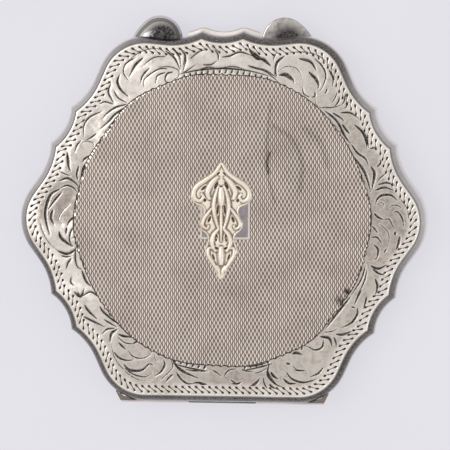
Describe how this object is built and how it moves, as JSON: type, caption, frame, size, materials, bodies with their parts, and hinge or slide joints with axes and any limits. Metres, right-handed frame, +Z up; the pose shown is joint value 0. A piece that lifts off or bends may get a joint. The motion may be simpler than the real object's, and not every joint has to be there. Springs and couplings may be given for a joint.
{
  "type": "powder compact",
  "caption": "Six-lobed silver powder compact with an engraved lid, hinged at the back, holding a mirror, a sifter, a puff and a sprung inner door.",
  "frame": {"origin": "the centre of the six lobes, on the flat underside of the base", "axes": "+Z up through the closed lid, +Y towards the hinge, -Y towards the thumb pieces, X along the hinge"},
  "size_m": [0.08, 0.0762, 0.0105],
  "materials": {
    "silver": "polished silver, lightly tarnished",
    "silver_engraved": "engine-turned and engraved silver, darkened in the cuts",
    "silver_hinge": "drawn silver tube",
    "gilt": "gilt inside",
    "gold_tone": "pale gold casting",
    "steel_wire": "drawn steel wire",
    "mirror": "silvered and bevelled mirror glass",
    "card": "grey card",
    "powder": "pressed face powder",
    "gauze": "fine woven gauze",
    "velour": "velour pile",
    "ribbon": "satin ribbon"
  },
  "bodies": {
    "base": {"base_shell": "silver", "base_collar": "silver", "base_thumb_piece": "silver", "base_front_lip": "silver", "base_hinge_bearer": "silver", "base_hinge_wings": "silver", "base_hinge_knuckle_left": "silver_hinge", "base_hinge_knuckle_right": "silver_hinge", "hinge_pin": "steel_wire", "snap_lug": "silver", "deck_plate": "gilt", "powder_pan": "gilt", "powder_cake": "powder", "sifter_ring": "gilt", "sifter_gauze": "gauze", "puff": "velour", "puff_ribbon": "ribbon", "door_hinge_knuckle_left": "gilt", "door_hinge_knuckle_right": "gilt", "door_hinge_pin": "steel_wire", "door_spring": "steel_wire"},
    "lid": {"lid_shell": "silver_engraved", "lid_thumb_piece": "silver", "lid_hinge_bearer": "silver", "lid_hinge_wings": "silver", "lid_hinge_knuckle": "silver_hinge", "ornament": "gold_tone", "ornament_rivets": "gold_tone", "mirror_card": "card", "mirror_glass": "mirror", "mirror_seat_ring": "gilt", "mirror_frame": "gilt"},
    "door": {"powder_door": "gilt", "door_knuckle": "gilt", "door_tab": "gilt"}
  },
  "joints": [
    {"name": "lid_hinge", "type": "hinge", "parent": "base", "child": "lid", "pos_m": [0, 0.0352, 0.0052], "axis": [-1, 0, 0], "range_deg": [0, 105]},
    {"name": "door_hinge", "type": "hinge", "parent": "base", "child": "door", "pos_m": [0, 0.0256, 0.0057], "axis": [-1, 0, 0], "range_deg": [0, 75]}
  ],
  "couplings": [
    {"joint": "door_hinge", "follows": "lid_hinge", "ratio": 0.7}
  ]
}
